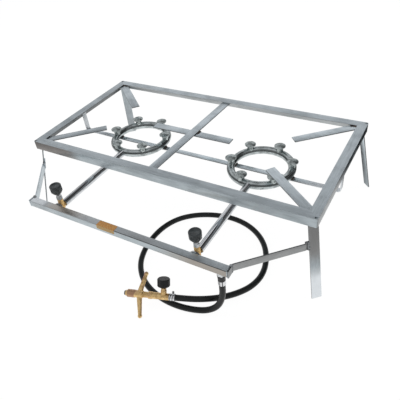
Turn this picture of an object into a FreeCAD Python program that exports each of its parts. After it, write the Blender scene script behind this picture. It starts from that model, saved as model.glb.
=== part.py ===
"""Two-burner stock pot range: an open stand of welded angle and flat bar, with two
ring burners, a gas rail with two taps in front, and a hose with its cylinder connector.

Millimetres. +Z is up and the feet stand on z = 0. +X is the operator's right and the
gas rail is at the front, towards -Y. The origin is at the bottom centre of the stand.
Sizes below are measured from the centre of the top frame, and the last step moves
every piece by the same amount in Y to reach that origin.
"""
import FreeCAD, Part
import os
from math import atan2, cos, degrees, hypot, pi, radians, sin, sqrt, tan

V = FreeCAD.Vector
X, Y, Z = V(1, 0, 0), V(0, 1, 0), V(0, 0, 1)
HALF_ROOT = sqrt(0.5)

# ---------------------------------------------------------------- top frame
frame_length = 850.0
frame_depth = 430.0
frame_height = 222.0
angle_width = 25.0
angle_drop = 24.5
angle_wall = 3.0
angle_root_radius = 3.0
corner_bend_radius = 5.0
corner_relief_radius = 3.7

# ---------------------------------------------------------------- pot bars
bar_width = 25.0
bar_thickness = 3.0
bar_lap = 8.0
divider_front_shift = -19.0
divider_back_shift = 0.0
mid_bar_left = 140.0
mid_bar_right = 112.0
mid_bar_shift = 4.0
pot_bar_front_left_tip = (-67.5, -66.5)
pot_bar_front_right_tip = (57.4, -77.5)
pot_bar_back_left_tip = (-60.8, 72.8)
pot_bar_back_right_tip = (63.4, 68.1)
crossing_bead_width = 7.0
crossing_bead_length = 16.0
crossing_bead_shift = 8.0
corner_bead_width = 4.0
corner_bead_length = 18.0

# ---------------------------------------------------------------- legs
leg_width = 25.0
leg_thickness = 3.0
leg_splay = 13.4
leg_corner_gap = 0.2
leg_top_bevel = 4.0

# ---------------------------------------------------------------- burners
burner_inset = 10.5
burner_height = 157.0
ring_radius = 83.0
ring_pipe_radius = 11.0
burner_jets = 6
jet_phase_left = 10.0
jet_phase_right = 15.0
stem_radius = 8.8
stem_bore_radius = 5.5
stem_rise = 8.5
stem_port_radius = 1.6
stem_ports = 4
cap_radius = 15.5
cap_skirt = 3.0
cap_rim = 2.2
cap_dome = 5.0
cap_spigot = 5.0
cap_fit_gap = 0.05

# ---------------------------------------------------------------- burner strap
strap_width = 16.0
strap_thickness = 3.0
strap_bend_radius = 9.0
strap_weld_lap = 14.0
strap_shift = -3.5
weld_leg = 5.0
weld_length = 15.0

# ---------------------------------------------------------------- gas rail
rail_forward = 157.0
rail_end_inset = 135.0
rail_section = 19.0
rail_wall = 1.5
rail_corner_radius = 2.0
rail_cap_thickness = 2.0
rail_cap_chamfer = 1.2

# ---------------------------------------------------------------- mixing tubes
tube_radius = 9.5
tube_wall = 1.2
tube_start = 19.5
tube_socket = 6.0
shutter_slot_length = 16.0
shutter_slot_width = 6.0
shutter_slot_start = 16.0

# ---------------------------------------------------------------- taps
tap_left_shift = -4.5
tap_right_shift = 1.5
tap_barrel_radius = 7.2
tap_barrel_gap = 0.2
tap_barrel_below = 10.0
tap_barrel_above = 21.0
tap_inlet_radius = 5.0
inlet_nut_across_flats = 24.0
inlet_nut_thickness = 4.0
tap_outlet_radius = 6.4
tap_outlet_length = 10.5
jet_nose_radius = 4.0
jet_nose_length = 7.0
gas_bore_radius = 2.0
gland_across_flats = 13.0
gland_height = 10.0
gland_collar_radius = 5.6
gland_collar_height = 3.0
spindle_radius = 3.0
spindle_gap = 0.05
spindle_flat = 2.2
spindle_seat = 3.0

# ---------------------------------------------------------------- tap knobs
knob_radius = 13.2
knob_height = 21.5
knob_lift = 9.0
knob_foot_radius = 9.4
knob_taper_height = 6.0
knob_edge_radius = 1.6
knob_flutes = 6
knob_flute_radius = 5.0
knob_flute_depth = 1.5
knob_crown = 6.0
knob_bore_depth = 14.0
knob_dish_radius = 10.2
knob_dish_depth = 0.8

# ---------------------------------------------------------------- rail arms
arm_width = 20.0
arm_thickness = 3.0
arm_bend_radius = 6.0
arm_leg_height = 143.0
arm_leg_tab = 30.0
arm_overhang = 7.5
arm_weld_radius = 4.0
arm_weld_rise = 1.5

# ---------------------------------------------------------------- hose inlet
nipple_inset = 18.0
nipple_across_flats = 17.0
nipple_hex_height = 9.0
nipple_thread_radius = 6.0
ferrule_top_radius = 9.6
ferrule_foot_radius = 8.7
ferrule_height = 14.5
clamp_band = 1.2
clamp_width = 13.5
clamp_gap = 0.1
clamp_offset = 1.0
clamp_screw_radius = 3.0
clamp_screw_length = 12.0
clamp_lug = 3.6

# ---------------------------------------------------------------- hose
hose_radius = 7.5
# X and Y from the axis of the nipple, Z from the floor
hose_route = [
    (0.0, 0.0, 124.0), (0.0, 0.0, 98.0), (-0.7, -0.3, 74.0),
    (-5.0, -2.0, 50.5), (-13.5, -5.2, 29.5), (-28.5, -11.0, 14.5),
    (-50.0, -19.5, 7.5),
    (-85.0, -30.0, 7.5), (-126.0, -34.0, 7.5), (-169.0, -29.0, 7.5),
    (-210.0, -15.0, 7.5), (-246.0, 9.0, 7.5), (-275.0, 44.0, 7.5),
    (-292.0, 88.0, 7.5), (-298.5, 138.0, 7.5), (-294.0, 186.0, 7.5),
    (-275.0, 231.0, 7.5), (-239.0, 266.0, 7.5), (-190.0, 290.0, 7.5),
    (-138.0, 300.5, 7.5), (-86.0, 295.0, 7.5), (-39.0, 273.0, 7.5),
    (-2.0, 238.0, 7.5), (23.0, 192.0, 7.5), (34.0, 144.0, 7.5),
    (27.0, 100.0, 7.5), (5.0, 63.0, 8.5), (-25.0, 29.0, 13.5),
    (-59.0, 1.0, 21.0), (-94.0, -17.8, 25.5), (-132.0, -30.5, 25.5),
]

# ---------------------------------------------------------------- cylinder connector
seal_radius = 5.6
seal_bore_radius = 3.0
seal_length = 2.5
nose_radius = 7.0
nose_length = 7.0
stem_shaft_radius = 5.2
collar_radius = 9.6
collar_length = 19.2
hub_radius = 8.9
hub_length = 20.3
nut_end_gap = 0.3
nut_bore_gap = 0.08
neck_radius = 7.3
neck_length = 14.0
shoulder_radius = 9.0
shoulder_length = 10.0
body_radius = 8.2
body_length = 41.0
wing_reach = 52.0
wing_root_half_width = 7.2
wing_tip_half_width = 4.6
wing_root_half_height = 4.4
wing_tip_half_height = 3.4
wing_ball_radius = 5.4
wing_sweep_back = 8.0
wing_sweep_front = 14.0
wing_tilt = 22.0
port_from_end = 13.5
port_tilt = 62.0
port_radius = 7.0
port_length = 16.0
port_gland_across_flats = 11.5
port_gland_length = 6.0
port_spindle_radius = 2.5
valve_knob_radius = 15.3
valve_knob_height = 19.5
valve_knob_start = 26.5
valve_knob_recess_radius = 11.0
valve_knob_recess_depth = 11.0
valve_knob_hub_radius = 6.0
valve_knob_flute_radius = 7.0
valve_knob_flute_depth = 1.6

# ---------------------------------------------------------------- worked-out places
top_underside = frame_height - angle_wall
flange_foot = frame_height - angle_drop
burner_spread = frame_length / 4 - burner_inset
rail_length = frame_length - 2 * rail_end_inset
rail_y = -frame_depth / 2 - rail_forward
rail_rear = rail_y + rail_section / 2
rail_front = rail_y - rail_section / 2
tube_front = rail_rear + tube_start
tap_y = rail_rear + inlet_nut_thickness + tap_barrel_gap + tap_barrel_radius
leg_slope = tan(radians(leg_splay))
leg_inset = angle_wall * sqrt(2) + leg_width / 2 + leg_corner_gap
foot_reach = HALF_ROOT * (flange_foot * leg_slope - leg_inset)
foot_back = frame_depth / 2 + foot_reach + HALF_ROOT * leg_width / 2
origin_shift = V(0, -(rail_front + foot_back) / 2, 0)


def save(name, *solids):
    """Write one node, moved to the part's origin."""
    shape = solids[0] if len(solids) == 1 else Part.makeCompound(list(solids))
    moved = shape.copy()
    moved.translate(origin_shift)
    moved.exportStep("parts/%s.step" % name)


def box(x0, x1, y0, y1, z0, z1):
    return Part.makeBox(x1 - x0, y1 - y0, z1 - z0, V(x0, y0, z0))


def rod(start, axis, radius, length):
    return Part.makeCylinder(radius, length, start, axis)


def pipe(start, axis, radius, bore, length):
    return rod(start, axis, radius, length).cut(rod(start, axis, bore, length))


def prism(points, along):
    """A straight solid from a closed outline of points."""
    return Part.Face(Part.makePolygon(points + points[:1])).extrude(along)


def turned(profile, centre=V(), axis=Z):
    """A turned solid from (radius, height) pairs about an axis through centre."""
    points = [V(radius, 0, height) for radius, height in profile]
    solid = Part.Face(Part.makePolygon(points + points[:1])).revolve(V(), Z, 360)
    solid.Placement = FreeCAD.Placement(centre, FreeCAD.Rotation(Z, axis))
    return solid


def hexagon(start, axis, across_flats, length):
    """A hexagonal bar with its corners turned off at the far end."""
    corner = across_flats / sqrt(3)
    points = [V(corner * cos(k * pi / 3), corner * sin(k * pi / 3), 0) for k in range(6)]
    bar = prism(points, Z * length)
    bevel = corner - across_flats / 2
    crown = turned([(0, 0), (corner, 0), (corner, length - bevel),
                    (across_flats / 2, length), (0, length)])
    bar = bar.common(crown)
    bar.Placement = FreeCAD.Placement(start, FreeCAD.Rotation(Z, axis))
    return bar


def spun(solid, angle, centre=V(), axis=Z):
    copy = solid.copy()
    copy.rotate(centre, axis, angle)
    return copy


def fused(first, *others):
    return first.fuse(list(others)).removeSplitter()


# ---------------------------------------------------------------- frame and pot bars
def angle_rail(length, offset):
    """One angle rail along X, outer face at y = -offset, mitred at both ends."""
    outer, inner = -offset, -offset + angle_width
    root = angle_wall + angle_root_radius
    corner = V(0, outer, frame_height)
    toe = V(0, inner, frame_height)
    toe_under = V(0, inner, top_underside)
    root_top = V(0, outer + root, top_underside)
    root_low = V(0, outer + angle_wall, frame_height - root)
    foot_in = V(0, outer + angle_wall, flange_foot)
    foot_out = V(0, outer, flange_foot)
    bend = angle_root_radius * (1 - HALF_ROOT)
    root_mid = V(0, outer + angle_wall + bend, top_underside - bend)
    edges = [Part.LineSegment(a, b).toShape() for a, b in (
        (corner, toe), (toe, toe_under), (toe_under, root_top))]
    edges.append(Part.Arc(root_top, root_mid, root_low).toShape())
    edges += [Part.LineSegment(a, b).toShape() for a, b in (
        (root_low, foot_in), (foot_in, foot_out), (foot_out, corner))]
    section = Part.Face(Part.Wire(edges))
    section.translate(X * (-length / 2))
    bar = section.extrude(X * length)
    keep = prism([V(-length / 2, outer, 0), V(length / 2, outer, 0),
                  V(length / 2 - angle_width, inner, 0),
                  V(-length / 2 + angle_width, inner, 0)], Z * frame_height)
    bar = bar.common(keep)
    for side in (-1, 1):
        bar = bar.cut(corner_tool(side, length / 2, offset))
    return bar


def corner_tool(side, half_length, offset):
    """What the bend takes off an outer corner, with the relief hole of the notch."""
    r = corner_bend_radius
    x, y = side * half_length, -offset
    block = box(min(x, x - side * r), max(x, x - side * r), y, y + r, 0, frame_height)
    bend = rod(V(x - side * r, y + r, 0), Z, r, frame_height)
    hole_at = V(x - side * r, y + r, top_underside)
    relief = rod(hole_at, Z, corner_relief_radius, angle_wall)
    return block.cut(bend).fuse(relief)


def make_frame():
    rails = (("front_rail", frame_length, frame_depth, 0),
             ("right_rail", frame_depth, frame_length, 90),
             ("back_rail", frame_length, frame_depth, 180),
             ("left_rail", frame_depth, frame_length, 270))
    for name, length, span, turn in rails:
        save(name, spun(angle_rail(length, span / 2), turn))


def centre_divider():
    """The bar from the front rail to the back one, a little aslant."""
    half = bar_width / 2
    reach = frame_depth / 2 - angle_width + bar_lap
    lean = atan2(divider_front_shift - divider_back_shift, 2 * reach)
    divider = box(-half, half, -reach, reach, top_underside - bar_thickness, top_underside)
    divider = spun(divider, degrees(lean))
    divider.translate(V((divider_front_shift + divider_back_shift) / 2, 0, 0))
    return divider


def make_pot_bars():
    half = bar_width / 2
    low = top_underside - bar_thickness
    save("centre_divider", centre_divider())
    save("mid_pot_bar", box(-mid_bar_left, mid_bar_right, mid_bar_shift - half,
                            mid_bar_shift + half, low - bar_thickness, low))
    save("pot_bar_front_left", corner_pot_bar(-1, -1, pot_bar_front_left_tip))
    save("pot_bar_front_right", corner_pot_bar(1, -1, pot_bar_front_right_tip))
    save("pot_bar_back_left", corner_pot_bar(-1, 1, pot_bar_back_left_tip))
    save("pot_bar_back_right", corner_pot_bar(1, 1, pot_bar_back_right_tip))


def corner_pot_bar(side, end, tip):
    """A bar from under a corner of the frame to a tip given from the burner's centre."""
    tip_x, tip_y = side * burner_spread + tip[0], tip[1]
    run_x = side * (frame_length / 2 - angle_width) - tip_x
    run_y = end * (frame_depth / 2 - angle_width) - tip_y
    bar = box(0, hypot(run_x, run_y) + bar_lap, -bar_width / 2, bar_width / 2,
              top_underside - bar_thickness, top_underside)
    bar = spun(bar, degrees(atan2(run_y, run_x)))
    bar.translate(V(tip_x, tip_y, 0))
    return bar


# ---------------------------------------------------------------- legs
def make_bar_welds():
    """Beads on the mid bar beside the divider, and on the two back bars at the frame."""
    low, high = top_underside - bar_thickness, top_underside
    x = (divider_front_shift + divider_back_shift) / 2
    y = mid_bar_shift + crossing_bead_shift - crossing_bead_length / 2
    edge = x + bar_width / 2
    crossing = prism([V(x, y, low), V(edge + crossing_bead_width, y, low),
                      V(edge, y, high), V(x, y, high)], Y * crossing_bead_length)
    beads = crossing.cut(centre_divider()).Solids
    toe = frame_depth / 2 - angle_width
    corner = frame_length / 2 - angle_width
    for side, tip in ((-1, pot_bar_back_left_tip), (1, pot_bar_back_right_tip)):
        start = side * corner
        fillet = prism([V(start, toe, high), V(start, toe - corner_bead_width, high),
                        V(start, toe, frame_height)], X * -side * corner_bead_length)
        above = corner_pot_bar(side, 1, tip)
        above.translate(Z * bar_thickness)
        beads += fillet.common(above).Solids
    save("bar_welds", *beads)


def leg_point(side, end, z, depth, across):
    """A point on a leg: its height, depth behind the outer face, place across it."""
    out = V(side, end, 0) * HALF_ROOT
    along = V(-end, side, 0) * HALF_ROOT
    reach = (flange_foot - z) * leg_slope - leg_inset - depth / cos(radians(leg_splay))
    corner = V(side * frame_length / 2, end * frame_depth / 2, z)
    return corner + out * reach + along * across


def make_legs():
    for name, side, end in (("leg_front_left", -1, -1), ("leg_front_right", 1, -1),
                            ("leg_back_left", -1, 1), ("leg_back_right", 1, 1)):
        save(name, leg_solid(side, end))


def leg_solid(side, end):
    outline = [leg_point(side, end, z, depth, -leg_width / 2) for z, depth in (
        (top_underside, 0), (0, 0), (0, leg_thickness), (top_underside, leg_thickness))]
    leg = prism(outline, V(-end, side, 0) * HALF_ROOT * leg_width)
    foot, half, top = leg_point(side, end, 0, 0, 0), leg_width / 2, top_underside
    out = V(side, end, 0) * HALF_ROOT
    across = V(-end, side, 0) * HALF_ROOT
    face = [(-half, 0), (half, 0), (half, top - leg_top_bevel), (half - leg_top_bevel, top),
            (leg_top_bevel - half, top), (-half, top - leg_top_bevel)]
    corners = [foot + out * leg_width + across * a + Z * z for a, z in face]
    return leg.common(prism(corners, out * -(leg_width + 2 * top_underside * leg_slope)))


# ---------------------------------------------------------------- burners
def jet_places(side):
    phase = jet_phase_right if side > 0 else jet_phase_left
    for k in range(burner_jets):
        turn = radians(phase + k * 360 / burner_jets)
        yield V(side * burner_spread + ring_radius * cos(turn), ring_radius * sin(turn),
                burner_height)


def ring_blank(side, radius):
    return Part.makeTorus(ring_radius, radius, V(side * burner_spread, 0, burner_height))


def make_rings():
    for name, side in (("burner_ring_left", -1), ("burner_ring_right", 1)):
        ring = ring_blank(side, ring_pipe_radius)
        sockets = [rod(place, Z, stem_radius, ring_pipe_radius) for place in jet_places(side)]
        sockets.append(tube_blank(side, tube_radius))
        save(name, ring.cut(sockets))


def make_jets():
    """Hollow stems with side ports, and the domed caps that close them."""
    stem_length = ring_pipe_radius + stem_rise
    for label, side in (("left", -1), ("right", 1)):
        stems, caps = [], []
        for place in jet_places(side):
            stem = pipe(place, Z, stem_radius, stem_bore_radius, stem_length)
            port_height = place + Z * (stem_length - cap_spigot - stem_port_radius)
            for k in range(stem_ports):
                port = rod(port_height, X, stem_port_radius, stem_radius + 1)
                stem = stem.cut(spun(port, (k + 0.5) * 360 / stem_ports, port_height))
            stems.append(stem)
            caps.append(mushroom_cap(place + Z * stem_length))
        save("burner_stems_%s" % label, *stems)
        save("burner_caps_%s" % label, *caps)


def mushroom_cap(seat):
    """A domed cap: a spigot in the stem, a sloping skirt, a rim and a shallow dome."""
    spigot = stem_bore_radius - cap_fit_gap
    rim_top = cap_skirt + cap_rim
    body = turned([(0, -cap_spigot), (spigot, -cap_spigot), (spigot, 0), (stem_radius, 0),
                   (cap_radius, cap_skirt), (cap_radius, rim_top), (0, rim_top)])
    ball_radius = (cap_radius ** 2 + cap_dome ** 2) / (2 * cap_dome)
    ball = Part.makeSphere(ball_radius, V(0, 0, rim_top + cap_dome - ball_radius))
    dome = ball.common(rod(Z * rim_top, Z, cap_radius, cap_dome))
    cap = fused(body, dome)
    cap.translate(seat)
    return cap


def tap_x(side):
    return side * burner_spread + (tap_right_shift if side > 0 else tap_left_shift)


def tube_blank(side, radius):
    """The solid line of a mixing tube, from behind the tap into the side of its ring."""
    finish = -ring_radius - ring_pipe_radius + tube_socket
    start = V(tap_x(side), tube_front, burner_height)
    return rod(start, Y, radius, finish - tube_front)


def make_mixing_tubes():
    """Open tubes with two air slots near the front end."""
    half = shutter_slot_width / 2
    for name, side in (("mixing_tube_left", -1), ("mixing_tube_right", 1)):
        tube = tube_blank(side, tube_radius).cut(tube_blank(side, tube_radius - tube_wall))
        slot_start = tube_front + shutter_slot_start
        x = tap_x(side)
        slot = box(x - tube_radius, x + tube_radius, slot_start,
                   slot_start + shutter_slot_length, burner_height - half,
                   burner_height + half)
        save(name, tube.cut(slot))


def make_strap():
    """A flat strap under both rings, its ends bent up to the side rails."""
    half = frame_length / 2 - angle_wall
    top = burner_height - ring_pipe_radius
    low = top - strap_thickness
    high = flange_foot + strap_weld_lap
    start = V(-half, strap_shift - strap_width / 2, low)
    outline = box(-half, half, start.y, start.y + strap_width, low, high)
    corners = [e for e in outline.Edges if abs(e.CenterOfMass.z - low) < 1e-6
               and abs(abs(e.CenterOfMass.x) - half) < 1e-6]
    outline = outline.makeFillet(strap_bend_radius, corners)
    inner = box(-half + strap_thickness, half - strap_thickness, start.y,
                start.y + strap_width, top, high)
    corners = [e for e in inner.Edges if abs(e.CenterOfMass.z - top) < 1e-6
               and abs(abs(e.CenterOfMass.x) - half + strap_thickness) < 1e-6]
    inner = inner.makeFillet(strap_bend_radius - strap_thickness, corners)
    save("burner_strap", outline.cut(inner))


def make_burner_welds():
    """Fillet welds on both sides of each ring where it crosses the strap."""
    top = burner_height - ring_pipe_radius
    y0 = strap_shift - weld_length / 2
    reach = ring_pipe_radius
    welds = []
    for side in (-1, 1):
        ring = ring_blank(side, ring_pipe_radius)
        for way in (-1, 1):
            x = side * burner_spread + way * ring_radius
            bead = prism([V(x - reach, y0, top), V(x + reach, y0, top),
                          V(x + reach - weld_leg / 2, y0, top + weld_leg),
                          V(x - reach + weld_leg / 2, y0, top + weld_leg)], Y * weld_length)
            welds += bead.cut(ring).Solids
    save("burner_welds", *welds)


# ---------------------------------------------------------------- gas rail
def make_gas_rail():
    """A square tube with its ends capped, bored for the two taps and the hose nipple."""
    half = rail_section / 2
    inner = half - rail_wall
    low, high = burner_height - half, burner_height + half
    reach = rail_length / 2
    tube = box(-reach, reach, rail_front, rail_rear, low, high)
    tube = tube.makeFillet(rail_corner_radius, [
        e for e in tube.Edges if abs(e.Length - rail_length) < 1e-6])
    tube = tube.cut(box(-reach, reach, rail_y - inner, rail_y + inner,
                        burner_height - inner, burner_height + inner))
    for side in (-1, 1):
        seat = V(tap_x(side), rail_y, burner_height)
        tube = tube.cut(rod(seat, Y, tap_inlet_radius, rail_section))
    tube = tube.cut(rod(V(nipple_x(), rail_y, burner_height), -Z,
                        nipple_thread_radius, rail_section))
    save("gas_rail", tube)
    caps = []
    for side in (-1, 1):
        face = side * (reach + rail_cap_thickness)
        plate = box(min(face, side * reach), max(face, side * reach), rail_front,
                    rail_rear, low, high)
        rim = [e for e in plate.Edges if abs(e.CenterOfMass.x - face) < 1e-6]
        caps.append(plate.makeChamfer(rail_cap_chamfer, rim))
    save("gas_rail_caps", *caps)


def nipple_x():
    return rail_length / 2 - nipple_inset


# ---------------------------------------------------------------- taps
def make_taps():
    for label, side in (("left", -1), ("right", 1)):
        centre = V(tap_x(side), tap_y, burner_height)
        save("tap_nut_%s" % label, inlet_nut(V(centre.x, rail_rear, centre.z)))
        save("tap_body_%s" % label, tap_body(centre))
        save("tap_gland_%s" % label, tap_gland(centre))
        save("tap_spindle_%s" % label, tap_spindle(centre))
        save("tap_knob_%s" % label, tap_knob(knob_base(centre)))


def barrel_top(centre):
    return centre + Z * tap_barrel_above


def knob_base(centre):
    return barrel_top(centre) + Z * (gland_height + gland_collar_height + knob_lift)


def inlet_nut(seat):
    """The nut that locks a tap's inlet against the rail, with a corner upwards."""
    nut = spun(hexagon(seat, Y, inlet_nut_across_flats, inlet_nut_thickness), 30, seat, Y)
    return nut.cut(rod(seat, Y, tap_inlet_radius, inlet_nut_thickness))


def tap_body(centre):
    """A barrel cock: the inlet screws into the rail, the outlet carries the jet."""
    radius, below, above = tap_barrel_radius, -tap_barrel_below, tap_barrel_above
    step = radius - tap_inlet_radius
    barrel = turned([(0, below), (radius - step, below), (radius, below + step),
                     (radius, above - step / 2), (radius - step / 2, above), (0, above)],
                    centre)
    inlet_length = centre.y - rail_rear + rail_wall
    inlet = rod(centre, -Y, tap_inlet_radius, inlet_length)
    outlet = hexagon(centre, Y, tap_outlet_radius * 2, tap_outlet_length)
    nose = turned([(0, 0), (jet_nose_radius, 0), (jet_nose_radius, jet_nose_length / 2),
                   (gas_bore_radius, jet_nose_length), (0, jet_nose_length)],
                  centre + Y * tap_outlet_length, Y)
    body = fused(barrel, inlet, outlet, nose)
    passage_start = centre - Y * inlet_length
    passage = rod(passage_start, Y, gas_bore_radius,
                  inlet_length + tap_outlet_length + jet_nose_length)
    plug_seat = rod(centre - Z * spindle_seat, Z, spindle_radius + spindle_gap,
                    spindle_seat + tap_barrel_above)
    return body.cut([passage, plug_seat])


def tap_gland(centre):
    base = barrel_top(centre)
    nut = hexagon(base, Z, gland_across_flats, gland_height)
    collar = rod(base + Z * gland_height, Z, gland_collar_radius, gland_collar_height)
    bore = rod(base, Z, spindle_radius + spindle_gap, gland_height + gland_collar_height)
    return fused(nut, collar).cut(bore)


def tap_spindle(centre):
    """The plug and its spindle: a gas way across the foot, a flat under the knob."""
    foot = centre - Z * (spindle_seat - spindle_gap)
    knob_foot = knob_base(centre)
    length = knob_foot.z + knob_bore_depth - foot.z
    spindle = rod(foot, Z, spindle_radius, length)
    gas_way = rod(centre - X * spindle_radius, X, gas_bore_radius, 2 * spindle_radius)
    flat = box(centre.x - spindle_radius, centre.x + spindle_radius,
               centre.y - spindle_radius, centre.y - spindle_flat,
               knob_foot.z, knob_foot.z + knob_bore_depth)
    return spindle.cut([gas_way, flat])


def tap_knob(base):
    """A turned knob that narrows at the foot, with flutes below a smooth crown."""
    edge, height = knob_edge_radius, knob_height
    knob = turned([(0, 0), (knob_foot_radius, 0), (knob_radius, knob_taper_height),
                   (knob_radius, height - edge), (knob_radius - edge, height), (0, height)],
                  base)
    centre_line = knob_radius - knob_flute_depth + knob_flute_radius
    flute = rod(base + X * centre_line, Z, knob_flute_radius, height - knob_crown)
    flutes = [spun(flute, (k + 0.5) * 360 / knob_flutes, base) for k in range(knob_flutes)]
    dish = rod(base + Z * (height - knob_dish_depth), Z, knob_dish_radius, knob_dish_depth)
    bore = rod(base, Z, spindle_radius, knob_bore_depth)
    flat = box(base.x - spindle_radius, base.x + spindle_radius,
               base.y - spindle_radius, base.y - spindle_flat, base.z,
               base.z + knob_bore_depth)
    return knob.cut(flutes + [dish, bore.cut(flat)])


# ---------------------------------------------------------------- rail arms
def make_arms():
    for name, side in (("rail_arm_left", -1), ("rail_arm_right", 1)):
        save(name, rail_arm(side))


def rail_arm(side):
    """A flat bar on edge from a front leg to the end of the rail, lapped on both.

    It is drawn for the right side and mirrored for the left.
    """
    half = arm_width / 2
    t = arm_thickness
    rail_face = rail_length / 2 + rail_cap_thickness
    leg_at = leg_point(1, -1, arm_leg_height, leg_thickness, -leg_width / 2 - arm_overhang)
    bend_at = V(rail_face, rail_rear + arm_bend_radius, burner_height)
    run = V(leg_at.x - bend_at.x, leg_at.y - bend_at.y, 0)
    length = run.Length
    run.normalize()
    inward = V(-run.y, run.x, 0)
    tall = frame_height
    corner_turn = atan2(-run.x, run.y)
    back_off = t * tan(abs(corner_turn) / 2)
    plan = [V(rail_face, rail_front, 0), V(rail_face + t, rail_front, 0),
            bend_at + X * t - Y * back_off, leg_at - inward * t, leg_at, bend_at]
    plan = [V(p.x, p.y, 0) for p in plan]
    sheet = prism(plan, Z * tall)
    near, far = bend_at.y, leg_at.y
    side_view = [V(0, rail_front, burner_height - half), V(0, near, burner_height - half),
                 V(0, far, arm_leg_height - half), V(0, far, arm_leg_height + half),
                 V(0, near, burner_height + half), V(0, rail_front, burner_height + half)]
    arm = sheet.common(prism(side_view, X * frame_length))
    tab = leg_tab()
    arm = fused(arm, tab)
    return arm if side > 0 else arm.mirror(V(), X)


def leg_tab():
    """The end of an arm, twisted to lie flat on the back of the right front leg."""
    z0, z1 = arm_leg_height - arm_width / 2, arm_leg_height + arm_width / 2
    outline = [leg_point(1, -1, z, depth, -leg_width / 2 - arm_overhang) for z, depth in (
        (z0, leg_thickness), (z1, leg_thickness), (z1, leg_thickness + arm_thickness),
        (z0, leg_thickness + arm_thickness))]
    return prism(outline, V(1, 1, 0) * HALF_ROOT * arm_leg_tab)


def make_arm_welds():
    """Beads in the corners of the arms with the rail and with the front legs."""
    half = rail_section / 2
    face = rail_length / 2 + rail_cap_thickness
    rail_bead = rod(V(face, rail_rear, burner_height - half), Z, arm_weld_radius,
                    rail_section + arm_weld_rise)
    seat = leg_point(1, -1, arm_leg_height - arm_width / 2, leg_thickness, -leg_width / 2)
    top = leg_point(1, -1, arm_leg_height + arm_width / 2, leg_thickness, -leg_width / 2)
    leg_bead = rod(seat, top - seat, arm_weld_radius, (top - seat).Length)
    arm = rail_arm(1)
    ends = box(0, face, rail_front, rail_rear, burner_height - half, burner_height + half)
    leg = leg_solid(1, -1)
    beads = rail_bead.cut([arm, ends]).Solids + leg_bead.cut([arm, leg]).Solids
    save("arm_welds", *beads, *[bead.mirror(V(), X) for bead in beads])


# ---------------------------------------------------------------- hose inlet
def make_inlet():
    seat = V(nipple_x(), rail_y, burner_height - rail_section / 2)
    thread = rod(seat, Z, nipple_thread_radius, rail_wall)
    nut = hexagon(seat, -Z, nipple_across_flats, nipple_hex_height)
    save("hose_nipple", fused(nut, thread))
    collar_top = seat - Z * nipple_hex_height
    save("hose_ferrule", turned([(0, 0), (ferrule_top_radius, 0),
                                 (ferrule_foot_radius, ferrule_height),
                                 (0, ferrule_height)], collar_top, -Z))
    save("nipple_clamp", hose_clamp(collar_top - Z * (ferrule_height + clamp_offset), -Z,
                                    V(-HALF_ROOT, HALF_ROOT, 0)))


def hose_clamp(start, axis, lug_way):
    """A worm-drive band round the hose with its screw housing."""
    inner = hose_radius + clamp_gap
    outer = inner + clamp_band
    band = pipe(start, axis, outer, inner, clamp_width)
    middle = start + axis * (clamp_width / 2)
    screw_way = axis.cross(lug_way)
    seat = middle + lug_way * (inner + clamp_lug)
    screw = rod(seat - screw_way * (clamp_screw_length / 2), screw_way,
                clamp_screw_radius, clamp_screw_length)
    saddle = rod(middle + lug_way * (inner + clamp_band / 2), lug_way,
                 clamp_screw_radius, clamp_lug)
    return fused(band, screw, saddle)


# ---------------------------------------------------------------- hose
def hose_path(points):
    """Straight runs joined by tangent arcs, each as large as its two runs allow."""
    edges = []
    last = points[0]
    radii = []
    for before, here, after in zip(points, points[1:], points[2:]):
        into, out = here - before, after - here
        shorter = min(into.Length, out.Length)
        into.normalize()
        out.normalize()
        turn = into.getAngle(out)
        setback = 0.45 * shorter
        radius = setback / tan(turn / 2)
        radii.append(round(radius))
        first = here - into * setback
        second = here + out * setback
        towards = out - into
        towards.normalize()
        middle = here + towards * (radius / cos(turn / 2) - radius)
        edges.append(Part.LineSegment(last, first).toShape())
        edges.append(Part.Arc(first, middle, second).toShape())
        last = second
    edges.append(Part.LineSegment(last, points[-1]).toShape())
    return Part.Wire(edges), radii


def hose_points():
    return [V(nipple_x() + x, rail_y + y, z) for x, y, z in hose_route]


def make_hose():
    points = hose_points()
    path, radii = hose_path(points)
    start = points[0]
    way = points[1] - start
    section = Part.Wire(Part.makeCircle(hose_radius, start, way))
    hose = path.makePipeShell([section], True, False)
    print("hose bend radii", radii)
    print("hose length %.0f volume %.0f of %.0f" % (
        path.Length, hose.Volume, path.Length * pi * hose_radius ** 2))
    save("gas_hose", hose)


# ---------------------------------------------------------------- cylinder connector
def connector_place():
    """Where the connector lies: its body's end meets the hose, its axis follows it."""
    before, end = hose_points()[-2:]
    way = before - end
    turn = degrees(atan2(way.y, way.x))
    start = end - way.normalize() * (nut_start() + nut_length() + neck_length
                                     + shoulder_length + body_length + nut_end_gap)
    return FreeCAD.Placement(start, FreeCAD.Rotation(Z, turn))


def placed(solid):
    copy = solid.copy()
    copy.Placement = connector_place().multiply(copy.Placement)
    return copy


def nut_start():
    return nose_length + nut_end_gap


def nut_length():
    return collar_length + hub_length


def neck_start():
    return nut_start() + nut_length() + nut_end_gap


def body_end():
    return neck_start() + neck_length + shoulder_length + body_length


def port_place():
    """The side port's seat on the body's axis and the way it points."""
    tilt = radians(port_tilt)
    return V(body_end() - port_from_end, 0, 0), V(0, cos(tilt), sin(tilt))


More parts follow.
